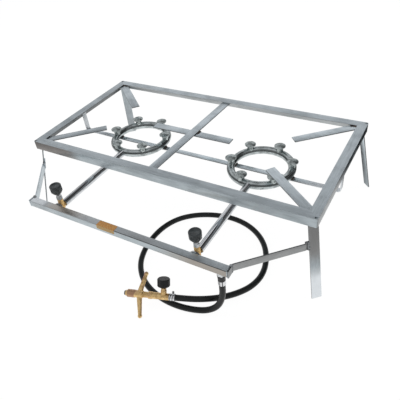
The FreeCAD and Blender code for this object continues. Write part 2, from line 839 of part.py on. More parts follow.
def make_connector():
    save("connector_body", placed(connector_body()))
    save("connector_seal", placed(turned([
        (seal_bore_radius, 0), (seal_radius, 0), (seal_radius, seal_length),
        (seal_bore_radius, seal_length)], V(), X)))
    save("wing_nut", placed(wing_nut()))
    seat, way = port_place()
    gland_start = seat + way * port_length
    gland = hexagon(gland_start, way, port_gland_across_flats, port_gland_length)
    bore = rod(gland_start, way, port_spindle_radius + spindle_gap, port_gland_length)
    save("connector_gland", placed(gland.cut(bore)))
    spindle_start = body_radius + spindle_gap
    spindle_end = valve_knob_start + valve_knob_height / 2
    save("connector_spindle", placed(rod(seat + way * spindle_start, way,
                                         port_spindle_radius, spindle_end - spindle_start)))
    save("connector_knob", placed(valve_knob(seat, way, spindle_end)))
    save("connector_clamp", placed(hose_clamp(V(body_end() + clamp_offset, 0, 0), X,
                                              Y)))


def connector_body():
    """The nose, the stem through the wing nut, the neck and the barrel with its port."""
    profile = [(seal_bore_radius, seal_length), (nose_radius - 1, seal_length),
               (nose_radius, seal_length + 1), (nose_radius, nose_length),
               (stem_shaft_radius, nose_length), (stem_shaft_radius, neck_start()),
               (neck_radius, neck_start()), (neck_radius, neck_start() + neck_length)]
    shoulder = neck_start() + neck_length
    profile += [(shoulder_radius, shoulder), (shoulder_radius, shoulder + shoulder_length - 1),
                (body_radius, shoulder + shoulder_length), (body_radius, body_end()),
                (0, body_end()), (0, nose_length), (seal_bore_radius, nose_length)]
    body = turned(profile, V(), X)
    seat, way = port_place()
    port = rod(seat, way, port_radius, port_length)
    bore = rod(seat + way * body_radius, way, port_spindle_radius + spindle_gap, port_length)
    return fused(body, port).cut(bore)


def wing_nut():
    """The threaded collar and hub that turn on the stem, with two long cast wings."""
    start, step = nut_start(), collar_radius - hub_radius
    collar_end = start + collar_length
    body = turned([(0, start), (hub_radius, start), (collar_radius, start + step),
                   (collar_radius, collar_end), (hub_radius, collar_end + step),
                   (hub_radius, start + nut_length()), (0, start + nut_length())], V(), X)
    centre = V(collar_end + hub_length / 2, 0, 0)
    nut = fused(body, wing(centre, 0, wing_sweep_back), wing(centre, 180, wing_sweep_front))
    bore = rod(V(start, 0, 0), X, stem_shaft_radius + nut_bore_gap, nut_length())
    return nut.cut(bore)


def wing(centre, turn, sweep):
    """One wing: an oval bar that narrows towards a ball at its tip."""
    sections = []
    for reach, half_width, half_height in (
            (0, wing_root_half_width, wing_root_half_height),
            (wing_reach, wing_tip_half_width, wing_tip_half_height)):
        oval = Part.Ellipse(V(0, 0, 0), half_width, half_height).toShape()
        oval.rotate(V(), X, -90)
        oval.translate(V(reach * tan(radians(sweep)), reach, 0))
        sections.append(Part.Wire(oval))
    bar = Part.makeLoft(sections, True)
    tip = V(wing_reach * tan(radians(sweep)), wing_reach, 0)
    ball = Part.makeSphere(wing_ball_radius, tip)
    blade = bar.fuse(ball)
    blade.rotate(V(), X, wing_tilt + turn)
    blade.translate(centre)
    return blade


def valve_knob(seat, way, spindle_end):
    """A lobed knob, hollow on the side that faces the body."""
    start = seat + way * valve_knob_start
    height, radius = valve_knob_height, valve_knob_radius
    edge = knob_edge_radius
    knob = turned([(0, 0), (radius - edge, 0), (radius, edge), (radius, height - edge),
                   (radius - edge, height), (0, height)])
    centre_line = radius - valve_knob_flute_depth + valve_knob_flute_radius
    flute = rod(X * centre_line, Z, valve_knob_flute_radius, height)
    flutes = [spun(flute, k * 360 / knob_flutes) for k in range(knob_flutes)]
    recess = pipe(V(), Z, valve_knob_recess_radius, valve_knob_hub_radius,
                  valve_knob_recess_depth)
    bore = rod(V(), Z, port_spindle_radius, height / 2)
    knob = knob.cut(flutes + [recess, bore])
    knob.Placement = FreeCAD.Placement(start, FreeCAD.Rotation(Z, way))
    return knob


os.makedirs("parts", exist_ok=True)
make_frame()
make_pot_bars()
make_bar_welds()
make_legs()
make_rings()
make_jets()
make_mixing_tubes()
make_strap()
make_burner_welds()
make_gas_rail()
make_taps()
make_arms()
make_arm_welds()
make_inlet()
make_hose()
make_connector()
print("origin shift", origin_shift)
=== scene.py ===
"""The looks of a two-burner stock pot range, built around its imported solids.

Metres, in the part's own frame: +X is the operator's right, +Y is away from the operator,
and the feet stand on z = 0.
"""
import math

import bmesh
import bpy
from mathutils import Matrix, Vector


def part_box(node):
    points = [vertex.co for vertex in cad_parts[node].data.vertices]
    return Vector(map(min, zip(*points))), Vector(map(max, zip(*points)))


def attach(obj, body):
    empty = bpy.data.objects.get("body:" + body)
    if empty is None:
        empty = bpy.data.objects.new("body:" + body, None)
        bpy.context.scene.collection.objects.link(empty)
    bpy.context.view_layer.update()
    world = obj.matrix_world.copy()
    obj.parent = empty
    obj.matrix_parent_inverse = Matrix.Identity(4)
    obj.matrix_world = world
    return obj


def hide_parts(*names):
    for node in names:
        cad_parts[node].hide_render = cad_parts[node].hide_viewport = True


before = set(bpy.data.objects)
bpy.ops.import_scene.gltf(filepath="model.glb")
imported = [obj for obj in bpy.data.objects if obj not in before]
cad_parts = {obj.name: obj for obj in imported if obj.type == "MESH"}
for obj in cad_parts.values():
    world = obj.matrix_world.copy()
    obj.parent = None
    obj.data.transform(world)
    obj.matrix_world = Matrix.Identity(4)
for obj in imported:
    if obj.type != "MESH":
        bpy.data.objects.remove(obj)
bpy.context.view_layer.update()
bpy.ops.object.select_all(action="DESELECT")


# ---------------------------------------------------------------- camera
# A plain camera on a stand in front of the range and to its right, looking down on it
# at the angle of the photograph.
CAMERA_PLACE = Vector((0.6025, -0.8401, 0.8623))
CAMERA_RIGHT = Vector((0.86507, 0.49305, -0.09249))
CAMERA_UP = Vector((-0.2518, 0.5863, 0.7700))
CAMERA_BACK = CAMERA_RIGHT.cross(CAMERA_UP).normalized()
CAMERA_LENS = 39.80
SENSOR_WIDTH = 36.0
NEAREST_SEEN = 0.01

lens = bpy.data.cameras.new("range_camera")
lens.lens = CAMERA_LENS
lens.sensor_width = SENSOR_WIDTH
lens.clip_start = NEAREST_SEEN
camera = bpy.data.objects.new("range_camera", lens)
bpy.context.scene.collection.objects.link(camera)
camera.matrix_world = Matrix.Translation(CAMERA_PLACE) @ Matrix(
    (CAMERA_RIGHT, CAMERA_UP, CAMERA_BACK)).transposed().to_4x4()
bpy.context.scene.camera = camera


# ---------------------------------------------------------------- gas hose
# A smooth black rubber hose. It drops from the ferrule under the rail, makes one loop on
# the floor and comes back over itself to the connector, which holds it up at that end.
HOSE_DIAMETER = 0.015
HOSE_TOP = 0.124
HOSE_AT_CONNECTOR = 0.0255
ON_FLOOR = HOSE_DIAMETER / 2
# Each point is a distance in X and in Y from the nipple, and a height above the floor.
HOSE_ROUTE = [
    (0.0, 0.0, HOSE_TOP), (0.0, 0.0, 0.098), (-0.0007, -0.0003, 0.074),
    (-0.005, -0.002, 0.0505), (-0.0135, -0.0052, 0.0295), (-0.0285, -0.011, 0.0145),
    (-0.05, -0.0195, ON_FLOOR), (-0.085, -0.03, ON_FLOOR), (-0.126, -0.034, ON_FLOOR),
    (-0.169, -0.029, ON_FLOOR), (-0.21, -0.015, ON_FLOOR), (-0.246, 0.009, ON_FLOOR),
    (-0.275, 0.044, ON_FLOOR), (-0.292, 0.088, ON_FLOOR), (-0.2985, 0.138, ON_FLOOR),
    (-0.294, 0.186, ON_FLOOR), (-0.275, 0.231, ON_FLOOR), (-0.239, 0.266, ON_FLOOR),
    (-0.19, 0.29, ON_FLOOR), (-0.138, 0.3005, ON_FLOOR), (-0.086, 0.295, ON_FLOOR),
    (-0.039, 0.273, ON_FLOOR), (-0.002, 0.238, ON_FLOOR), (0.023, 0.192, ON_FLOOR),
    (0.034, 0.144, ON_FLOOR), (0.027, 0.1, ON_FLOOR), (0.005, 0.063, 0.0085),
    (-0.025, 0.029, 0.0135), (-0.059, 0.001, 0.021), (-0.094, -0.0178, HOSE_AT_CONNECTOR),
    (-0.132, -0.0305, HOSE_AT_CONNECTOR),
]
RUBBER_BLACK = (0.0065, 0.0082, 0.0082, 1)
RUBBER_GREY = (0.014, 0.0172, 0.0172, 1)
# The colour sockets of a Mix node share their names with others, so they go by number.
MIX_FACTOR, MIX_FIRST, MIX_SECOND, MIX_RESULT = 0, 6, 7, 2
GRAIN_LIMITS = (0.3, 0.7)


def cloud_group():
    """Soft clouds of two sizes: a mask for tarnish, handling marks and uneven plating."""
    group = bpy.data.node_groups.new("soft_clouds", "ShaderNodeTree")
    group.interface.new_socket("Vector", in_out="INPUT", socket_type="NodeSocketVector")
    for name, usual in (("Scale", 20), ("Low", 0.35), ("High", 0.65)):
        group.interface.new_socket(name, in_out="INPUT",
                                   socket_type="NodeSocketFloat").default_value = usual
    group.interface.new_socket("Mask", in_out="OUTPUT", socket_type="NodeSocketFloat")
    nodes, links = group.nodes, group.links
    given, made = nodes.new("NodeGroupInput"), nodes.new("NodeGroupOutput")
    noise = nodes.new("ShaderNodeTexNoise")
    noise.inputs["Detail"].default_value = 4
    noise.inputs["Roughness"].default_value = 0.6
    spread = nodes.new("ShaderNodeMapRange")
    spread.interpolation_type = "SMOOTHSTEP"
    links.new(given.outputs["Vector"], noise.inputs["Vector"])
    links.new(given.outputs["Scale"], noise.inputs["Scale"])
    links.new(noise.outputs["Fac"], spread.inputs["Value"])
    links.new(given.outputs["Low"], spread.inputs["From Min"])
    links.new(given.outputs["High"], spread.inputs["From Max"])
    links.new(spread.outputs["Result"], made.inputs["Mask"])
    return group


SOFT_CLOUDS = cloud_group()


def new_material(name, roughness, metallic=0.0, stretch=(1, 1, 1), turn=0.0):
    """A material with its Principled shader, and a Mapping node on Object coordinates."""
    material = bpy.data.materials.new(name)
    material.use_nodes = True
    tree = material.node_tree
    shader = tree.nodes["Principled BSDF"]
    shader.inputs["Roughness"].default_value = roughness
    shader.inputs["Metallic"].default_value = metallic
    place = tree.nodes.new("ShaderNodeTexCoord")
    mapping = tree.nodes.new("ShaderNodeMapping")
    mapping.vector_type = "TEXTURE"
    mapping.inputs["Rotation"].default_value = (0, 0, turn)
    mapping.inputs["Scale"].default_value = stretch
    tree.links.new(place.outputs["Object"], mapping.inputs["Vector"])
    return material, tree, shader, mapping


def add_clouds(tree, mapping, scale, low, high):
    """A mask of soft clouds, smaller at a larger scale, with edges from low to high."""
    node = tree.nodes.new("ShaderNodeGroup")
    node.node_tree = SOFT_CLOUDS
    node.inputs["Scale"].default_value = scale
    node.inputs["Low"].default_value = low
    node.inputs["High"].default_value = high
    tree.links.new(mapping.outputs["Vector"], node.inputs["Vector"])
    return node.outputs["Mask"]


def blend_colours(tree, mask, first, second):
    """A colour that goes from first to second with the mask."""
    mix = tree.nodes.new("ShaderNodeMix")
    mix.data_type = "RGBA"
    tree.links.new(mask, mix.inputs[MIX_FACTOR])
    for colour, socket in ((first, mix.inputs[MIX_FIRST]),
                           (second, mix.inputs[MIX_SECOND])):
        if isinstance(colour, tuple):
            socket.default_value = colour
        else:
            tree.links.new(colour, socket)
    return mix.outputs[MIX_RESULT]


def ranged(tree, value, start, end, low=0.0, high=1.0):
    """A value that goes smoothly from low to high while another goes from start to end."""
    node = tree.nodes.new("ShaderNodeMapRange")
    node.interpolation_type = "SMOOTHSTEP"
    for name, number in (("From Min", start), ("From Max", end), ("To Min", low),
                         ("To Max", high)):
        node.inputs[name].default_value = number
    tree.links.new(value, node.inputs["Value"])
    return node.outputs["Result"]


def combined(tree, operation, first, second):
    """Two values put together in a Math node; the second may be a plain number."""
    node = tree.nodes.new("ShaderNodeMath")
    node.operation = operation
    tree.links.new(first, node.inputs[0])
    if isinstance(second, float):
        node.inputs[1].default_value = second
    else:
        tree.links.new(second, node.inputs[1])
    return node.outputs[0]


def vary_roughness(tree, shader, mask, smooth, rough):
    """A roughness that goes from smooth to rough with the mask."""
    tree.links.new(ranged(tree, mask, 0.0, 1.0, smooth, rough), shader.inputs["Roughness"])


def add_bump(tree, shader, height, distance, strength):
    """Relief from a mask, so many metres deep."""
    bump = tree.nodes.new("ShaderNodeBump")
    bump.inputs["Distance"].default_value = distance
    bump.inputs["Strength"].default_value = strength
    tree.links.new(height, bump.inputs["Height"])
    tree.links.new(bump.outputs["Normal"], shader.inputs["Normal"])


def add_grain(tree, shader, mapping, scale, distance, strength):
    """Fine relief all over."""
    grain = add_clouds(tree, mapping, scale, *GRAIN_LIMITS)
    add_bump(tree, shader, grain, distance, strength)


def hose_rubber():
    """Black rubber with a thin sheen and faint grey scuffs."""
    material, tree, shader, mapping = new_material("hose_rubber", 0.36)
    shader.inputs["Specular IOR Level"].default_value = 0.2
    shader.inputs["Coat Weight"].default_value = 0.16
    shader.inputs["Coat Roughness"].default_value = 0.1
    scuffs = add_clouds(tree, mapping, scale=45, low=0.42, high=0.7)
    tree.links.new(blend_colours(tree, scuffs, RUBBER_BLACK, RUBBER_GREY),
                   shader.inputs["Base Color"])
    vary_roughness(tree, shader, scuffs, smooth=0.30, rough=0.46)
    add_grain(tree, shader, mapping, scale=900, distance=0.00012, strength=0.4)
    return material


nipple_low, nipple_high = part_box("hose_nipple")
hose_x = (nipple_low.x + nipple_high.x) / 2
hose_y = (nipple_low.y + nipple_high.y) / 2
hose_line = bpy.data.curves.new("gas_hose_tube", "CURVE")
hose_line.dimensions = "3D"
spline = hose_line.splines.new("NURBS")
spline.points.add(len(HOSE_ROUTE) - 1)
for point, (x, y, z) in zip(spline.points, HOSE_ROUTE):
    point.co = (hose_x + x, hose_y + y, z, 1)
spline.order_u = 3
spline.use_endpoint_u = True
spline.resolution_u = 16
hose_line.bevel_depth = HOSE_DIAMETER / 2
hose_line.bevel_resolution = 8
hose_line.use_fill_caps = True
hose = bpy.data.objects.new("gas_hose_tube", hose_line)
bpy.context.scene.collection.objects.link(hose)
hose_line.materials.append(hose_rubber())
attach(hose, "stand")
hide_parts("gas_hose")


# ---------------------------------------------------------------- floor and light
# A plain white sweep under soft light. It stays white to the camera and keeps a faint
# shadow, and the metal sees a darker patch of it under the stand.
FLOOR_SIZE = 12.0
PAPER_GREY = (0.8, 0.8, 0.8, 1)
PAPER_GLOW = 1.045
GLOW_SHARE = 0.92
FLOOR_BOUNCE = (0.45, 0.45, 0.45, 1)
# How bright the metal sees the floor: from one place to another, from one level to another.
MIRROR_DEEP = (0.17, 0.42, 0.0, 0.97)
MIRROR_ASIDE = (0.05, 0.35, 0.0, 1.0)
MIRROR_SHADE = (0.0, 1.0, 0.95, 0.0)
MIRROR_LEFT = (-0.85, -0.60, 0.45, 1.0)
MIRROR_RIGHT = (0.52, 0.80, 1.0, 0.50)
MIRROR_RIM = (1.1, 2.0, 0.0, 0.6)

floor_mesh = bpy.data.meshes.new("studio_floor")
half = FLOOR_SIZE / 2
floor_mesh.from_pydata([(-half, -half, 0), (half, -half, 0), (half, half, 0),
                        (-half, half, 0)], [], [(0, 1, 2, 3)])
floor = bpy.data.objects.new("studio_floor", floor_mesh)
bpy.context.scene.collection.objects.link(floor)


def floor_material():
    """White paper to the camera, a patchy glow to metal, and plain grey to other rays."""
    material = bpy.data.materials.new("studio_floor")
    material.use_nodes = True
    tree = material.node_tree
    nodes, links = tree.nodes, tree.links
    nodes.clear()
    out = nodes.new("ShaderNodeOutputMaterial")
    seen = nodes.new("ShaderNodeLightPath")
    paper = nodes.new("ShaderNodeBsdfDiffuse")
    paper.inputs["Color"].default_value = PAPER_GREY
    white = nodes.new("ShaderNodeEmission")
    white.inputs["Strength"].default_value = PAPER_GLOW
    keep = nodes.new("ShaderNodeMixShader")
    keep.inputs["Fac"].default_value = GLOW_SHARE
    links.new(paper.outputs[0], keep.inputs[1])
    links.new(white.outputs[0], keep.inputs[2])
    place = nodes.new("ShaderNodeTexCoord")
    split = nodes.new("ShaderNodeSeparateXYZ")
    links.new(place.outputs["Object"], split.inputs[0])
    deep = ranged(tree, split.outputs["Y"], *MIRROR_DEEP)
    aside = ranged(tree, split.outputs["X"], *MIRROR_ASIDE)
    behind = ranged(tree, combined(tree, "MULTIPLY", deep, aside), *MIRROR_SHADE)
    left = ranged(tree, split.outputs["X"], *MIRROR_LEFT)
    right = ranged(tree, split.outputs["X"], *MIRROR_RIGHT)
    near = combined(tree, "MULTIPLY", combined(tree, "MULTIPLY", behind, left), right)
    far = nodes.new("ShaderNodeVectorMath")
    far.operation = "LENGTH"
    links.new(place.outputs["Object"], far.inputs[0])
    rim = ranged(tree, far.outputs["Value"], *MIRROR_RIM)
    mirrored = nodes.new("ShaderNodeEmission")
    links.new(combined(tree, "MAXIMUM", near, rim), mirrored.inputs["Strength"])
    soft = nodes.new("ShaderNodeBsdfDiffuse")
    soft.inputs["Color"].default_value = FLOOR_BOUNCE
    glossy = nodes.new("ShaderNodeMixShader")
    links.new(seen.outputs["Is Glossy Ray"], glossy.inputs["Fac"])
    links.new(soft.outputs[0], glossy.inputs[1])
    links.new(mirrored.outputs[0], glossy.inputs[2])
    final = nodes.new("ShaderNodeMixShader")
    links.new(seen.outputs["Is Camera Ray"], final.inputs["Fac"])
    links.new(glossy.outputs[0], final.inputs[1])
    links.new(keep.outputs[0], final.inputs[2])
    links.new(final.outputs[0], out.inputs["Surface"])
    return material


floor_mesh.materials.append(floor_material())

# The sky's stops are a height and a level each. Its bands, its darker right side and its
# lamp panel are only there beyond the stand; the rest of it is plain to metal.
SKY_STOPS = ((0.0, 0.62), (0.20, 0.72), (0.40, 0.95), (0.55, 0.72), (0.66, 0.60),
             (0.73, 0.15), (1.0, 0.12))
SKY_BLUE = 1.02
SKY_PLAIN = (0.58, 0.58, 0.59, 1)
SKY_SOFT = (0.55, 0.56, 0.57, 1)
SKY_BEYOND = (0.1, 0.4)
SKY_ASIDE = (0.0, 0.35)
SKY_RIGHT_LEVEL = 0.12
SKY_PANEL = (-0.16, 0.60, 0.784)
PANEL_EDGE = (0.9955, 0.9985)
PANEL_GLOW = 9.0
LAMP_AIM = Vector((0, 0, 0.1))

world = bpy.data.worlds.new("studio")
bpy.context.scene.world = world
world.use_nodes = True


def light_sky(tree):
    """White to the camera, soft light on everything, and bright and dark bands in metal."""
    sky, links = tree.nodes, tree.links
    sky.clear()
    out = sky.new("ShaderNodeOutputWorld")
    seen = sky.new("ShaderNodeLightPath")
    place = sky.new("ShaderNodeTexCoord")
    split = sky.new("ShaderNodeSeparateXYZ")
    ramp = sky.new("ShaderNodeValToRGB")
    links.new(place.outputs["Generated"], split.inputs[0])
    links.new(split.outputs["Z"], ramp.inputs["Fac"])
    elements = ramp.color_ramp.elements
    for position, _ in SKY_STOPS[1:-1]:
        elements.new(position)
    for element, (position, level) in zip(elements, SKY_STOPS):
        element.position = position
        element.color = (level, level, level * SKY_BLUE, 1)
    bands = sky.new("ShaderNodeBackground")
    beyond = ranged(tree, split.outputs["Y"], *SKY_BEYOND)
    right = combined(tree, "MULTIPLY", ranged(tree, split.outputs["X"], *SKY_ASIDE), beyond)
    panel = sky.new("ShaderNodeVectorMath")
    panel.operation = "DOT_PRODUCT"
    panel.inputs[1].default_value = SKY_PANEL
    links.new(place.outputs["Generated"], panel.inputs[0])
    lamp = ranged(tree, panel.outputs["Value"], *PANEL_EDGE, 0.0, PANEL_GLOW)
    level = combined(tree, "ADD", ranged(tree, right, 0.0, 1.0, 1.0, SKY_RIGHT_LEVEL), lamp)
    links.new(blend_colours(tree, beyond, SKY_PLAIN, ramp.outputs["Color"]),
              bands.inputs["Color"])
    links.new(level, bands.inputs["Strength"])
    soft = sky.new("ShaderNodeBackground")
    soft.inputs["Color"].default_value = SKY_SOFT
    white = sky.new("ShaderNodeBackground")
    white.inputs["Color"].default_value = (1, 1, 1, 1)
    first, second = sky.new("ShaderNodeMixShader"), sky.new("ShaderNodeMixShader")
    links.new(seen.outputs["Is Glossy Ray"], first.inputs["Fac"])
    links.new(soft.outputs[0], first.inputs[1])
    links.new(bands.outputs[0], first.inputs[2])
    links.new(seen.outputs["Is Camera Ray"], second.inputs["Fac"])
    links.new(first.outputs[0], second.inputs[1])
    links.new(white.outputs[0], second.inputs[2])
    links.new(second.outputs[0], out.inputs["Surface"])


light_sky(world.node_tree)
for name, place, size, power in (("front_softbox", (-2.1, -0.7, 1.3), 1.1, 26),
                                 ("back_softbox", (1.8, 1.1, 1.7), 0.8, 12)):
    light = bpy.data.lights.new(name, "AREA")
    light.size = size
    light.energy = power
    lamp = bpy.data.objects.new(name, light)
    bpy.context.scene.collection.objects.link(lamp)
    lamp.visible_glossy = False
    lamp.location = place
    lamp.rotation_euler = (LAMP_AIM - Vector(place)).to_track_quat("-Z", "Y").to_euler()
bpy.context.scene.view_settings.view_transform = "Standard"


# ---------------------------------------------------------------- top frame
# Four lengths of zinc-plated steel angle, flat side up and lip outside, mitred and
# welded at the corners. Rolling leaves fine streaks along each length.
ZINC_LIGHT = (0.575, 0.64, 0.675, 1)
ZINC_DARK = (0.425, 0.475, 0.50, 1)
# Also the painted shade on the bars' edges and on the inward faces of the angles.
ZINC_STAIN_AND_SHADE = (0.35, 0.365, 0.37, 1)
# Painted reflection: brown on the left end of the front rail's lip.
ZINC_BROWN_REFLECTION = (0.26, 0.232, 0.215, 1)
# Painted light on the strap's ends and on the gas rail's left end.
ZINC_BRIGHT = (0.80, 0.84, 0.87, 1)
# Painted shade on the right rail's outer lip.
LIP_SHADE_GREY = (0.29, 0.295, 0.295, 1)
# Painted dark reflection along the rounded corners of the rails.
CORNER_DARK_REFLECTION = (0.10, 0.10, 0.10, 1)
STREAK_LENGTH = 16.0
# Scale, low edge and high edge of each pattern in the plating.
FINE_STREAKS = (520, 0.30, 0.72)
WIDE_STREAKS = (170, 0.34, 0.68)
PLATING_CLOUDS = (18, 0.36, 0.68)
STAIN_CLOUDS = (6.0, 0.52, 0.80)
FINE_SHARE, WIDE_SHARE, CLOUD_SHARE, STAIN_SHARE = 0.55, 0.45, 0.15, 0.55
STEEL_ROUND = 0.0007
RAIL_ROUND = 0.0008
SAME_POINT = 0.00001
FLAT_ANGLE = math.radians(0.5)
SHARP_ANGLE = math.radians(40)
SMOOTH_ANGLE = math.radians(35)
ALONG_ENOUGH = 0.985
ALONG_X, ALONG_Y = Vector((1, 0, 0)), Vector((0, 1, 0))
UP, FRONT, RIGHT = (0, 0, 1), (0, -1, 0), (1, 0, 0)
FRONT_CORNER = (0, -0.7071, 0.7071)
RIGHT_CORNER = (0.7071, 0, 0.7071)
# How squarely a surface has to face a way to be on that face, or on a rounded corner.
ON_FACE = (0.5, 0.8)
ON_CORNER = (0.80, 0.93)
ON_BROAD = (0.45, 0.85)
OFF_INWARD = (0.5, 0.85, 1.0, 0.0)
BEFORE, ONWARDS = -1, 1
# Stretches over which the rails' painted reflections and shade change, along X in front and
# along Y on the right.
FRONT_BROWN_REFLECTION = (-0.30, -0.24)
FRONT_LINE = (-0.28, -0.22)
RIGHT_LIP = (-0.02, 0.12)
RIGHT_LINE = (-0.20, -0.19)


def toned(colour, light_tone):
    """A lighter or darker colour."""
    return tuple(level * light_tone for level in colour[:3]) + (1,)


def facing(tree, way, both=False):
    """How much a surface faces one way, or either of two opposite ways."""
    place = tree.nodes.new("ShaderNodeTexCoord")
    turned = tree.nodes.new("ShaderNodeVectorMath")
    turned.operation = "DOT_PRODUCT"
    turned.inputs[1].default_value = way
    tree.links.new(place.outputs["Normal"], turned.inputs[0])
    if both:
        return combined(tree, "ABSOLUTE", turned.outputs["Value"], 0.0)
    return turned.outputs["Value"]


def rolled_zinc(name, turn=0.0, light_tone=1.0, broad=UP, inward=None, edge=0.45, upright=False):
    """Plated bar: fine streaks along it, soft clouds, a few dull stains and painted edge
    shade.

    The painted shade is on the faces off the broad way, or for an angle on the ones that
    face inward.
    """
    stretch = (1.0, 1.0, STREAK_LENGTH) if upright else (STREAK_LENGTH, 1.0, 1.0)
    material, tree, shader, mapping = new_material(name, 0.38, 1.0, stretch, turn)
    flat = tree.nodes.new("ShaderNodeMapping")
    place = tree.nodes["Texture Coordinate"]
    tree.links.new(place.outputs["Object"], flat.inputs["Vector"])
    fine = add_clouds(tree, mapping, *FINE_STREAKS)
    wide = add_clouds(tree, mapping, *WIDE_STREAKS)
    clouds = add_clouds(tree, flat, *PLATING_CLOUDS)
    stains = add_clouds(tree, flat, *STAIN_CLOUDS)
    streaks = combined(tree, "ADD", combined(tree, "MULTIPLY", fine, FINE_SHARE),
                       combined(tree, "MULTIPLY", wide, WIDE_SHARE))
    mask = combined(tree, "ADD", streaks,
                    combined(tree, "MULTIPLY", clouds, CLOUD_SHARE))
    # The tone paints the whole bar lighter or darker for the light that falls on it.
    plated = blend_colours(tree, mask, toned(ZINC_LIGHT, light_tone), toned(ZINC_DARK, light_tone))
    tint = blend_colours(tree, combined(tree, "MULTIPLY", stains, STAIN_SHARE), plated,
                         toned(ZINC_STAIN_AND_SHADE, light_tone))
    kept = None
    # Painted shade: the stain colour, scaled by edge, on the edges and the inward faces.
    if inward:
        kept = ranged(tree, facing(tree, inward), *OFF_INWARD)
    elif broad:
        kept = ranged(tree, facing(tree, broad, both=True), *ON_BROAD)
    if kept is not None:
        tint = blend_colours(tree, kept, toned(ZINC_STAIN_AND_SHADE, light_tone * edge), tint)
    tree.links.new(tint, shader.inputs["Base Color"])
    vary_roughness(tree, shader, clouds, smooth=0.31, rough=0.44)
    add_bump(tree, shader, streaks, distance=0.00006, strength=0.5)
    return material


def dress(node, name, body, material, along=None, rounding=STEEL_ROUND):
    """A copy of a solid that replaces it, with the sharp edges along it rounded."""
    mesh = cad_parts[node].data.copy()
    mesh.name = name
    piece = bpy.data.objects.new(name, mesh)
    bpy.context.scene.collection.objects.link(piece)
    mesh.materials.clear()
    mesh.materials.append(material)
    bpy.ops.object.select_all(action="DESELECT")
    bpy.context.view_layer.objects.active = piece
    piece.select_set(True)
    bpy.ops.object.mode_set(mode="EDIT")
    bpy.ops.mesh.select_all(action="SELECT")
    bpy.ops.mesh.remove_doubles(threshold=SAME_POINT)
    if rounding:
        bpy.ops.mesh.dissolve_limited(angle_limit=FLAT_ANGLE)
        bpy.ops.mesh.select_all(action="DESELECT")
        shape = bmesh.from_edit_mesh(mesh)
        for edge in shape.edges:
            if len(edge.link_faces) != 2 or edge.calc_face_angle(0) < SHARP_ANGLE:
                continue
            way = (edge.verts[1].co - edge.verts[0].co).normalized()
            if along is None or abs(way.dot(along)) > ALONG_ENOUGH:
                edge.select_set(True)
        bmesh.update_edit_mesh(mesh)
        bpy.ops.mesh.bevel(offset=rounding, segments=3, profile=0.5, affect="EDGES",
                           clamp_overlap=True)
    bpy.ops.object.mode_set(mode="OBJECT")
    bpy.ops.object.shade_smooth_by_angle(angle=SMOOTH_ANGLE)
    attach(piece, body)
    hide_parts(node)
    return piece


def distance_along(tree, axis):
    """Where a point of a surface is on one axis of the frame."""
    place = tree.nodes.new("ShaderNodeSeparateXYZ")
    tree.links.new(tree.nodes["Texture Coordinate"].outputs["Object"], place.inputs[0])
    return place.outputs[axis]


def tint_over(tree, mask, colour):
    """Another colour over the one that a material has, where the mask is high."""
    tint = tree.nodes["Principled BSDF"].inputs["Base Color"]
    tree.links.new(blend_colours(tree, mask, tint.links[0].from_socket, colour), tint)


# Most of these tints are painted reflections, highlights and shade on the plated pieces.
def tinted_face(material, way, stretch, side, colour=ZINC_BROWN_REFLECTION, share=0.85,
              limits=ON_FACE, axis="X"):
    """Another tint on the face that looks one way, before or onwards of a stretch."""
    tree = material.node_tree
    levels = (0.0, share) if side == ONWARDS else (share, 0.0)
    along_share = ranged(tree, distance_along(tree, axis), *stretch, *levels)
    mask = combined(tree, "MULTIPLY", along_share, ranged(tree, facing(tree, way), *limits))
    tint_over(tree, mask, colour)


# Each rail's tone paints it lighter or darker for its light; edge sets its painted shade.
for node, along, inward, light_tone, edge in (("front_rail", ALONG_X, (0, 1, 0), 0.88, 0.5),
                                        ("back_rail", ALONG_X, (0, -1, 0), 1.02, 1.35),
                                        ("left_rail", ALONG_Y, (1, 0, 0), 0.83, 0.70),
                                        ("right_rail", ALONG_Y, (-1, 0, 0), 1.00, 0.5)):
    turn = math.atan2(along.y, along.x)
    zinc = rolled_zinc("zinc_" + node, turn, light_tone, inward=inward, edge=edge)
    if node == "front_rail":
        # Painted reflection: the left end of the front lip is tinted brown.
        tinted_face(zinc, FRONT, FRONT_BROWN_REFLECTION, BEFORE)
        # Painted reflection on the rounded front corner: a dark line to the right, and a
        # painted highlight line to the left.
        tinted_face(zinc, FRONT_CORNER, FRONT_LINE, ONWARDS, CORNER_DARK_REFLECTION, 0.9, ON_CORNER)
        tinted_face(zinc, FRONT_CORNER, FRONT_LINE, BEFORE, ZINC_LIGHT, 0.9, ON_CORNER)
    if node == "right_rail":
        # Painted shade: the right rail's outer lip is greyer towards the front, and a
        # painted dark reflection runs along its corner towards the back.
        tinted_face(zinc, RIGHT, RIGHT_LIP, BEFORE, LIP_SHADE_GREY, 0.8, axis="Y")
        tinted_face(zinc, RIGHT_CORNER, RIGHT_LINE, ONWARDS, CORNER_DARK_REFLECTION, 0.7, ON_CORNER,
                  "Y")
    dress(node, node + "_angle", "stand", zinc, along, RAIL_ROUND)


# ---------------------------------------------------------------- pot bars
# Flat bars that the pots stand on: one across the middle, one under it along the stand,
# and one from each corner towards its burner.
BAR_WIDTH = 0.025
WIDTH_SLACK = 0.0003


def long_way(node):
    """The direction of a bar, from its own corners: the side between two long faces."""
    points = [v.co.copy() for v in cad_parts[node].data.vertices]
    start = min(points, key=lambda p: (round(p.x, 5), p.y))
    end = max(points, key=lambda p: (p - start).length)
    near = [p for p in points if abs((p - start).length - BAR_WIDTH) < WIDTH_SLACK]
    way = end - start
    if near:
        across = (near[0] - start).normalized()
        way = way - across * way.dot(across)
        way.z = 0
    return way.normalized()


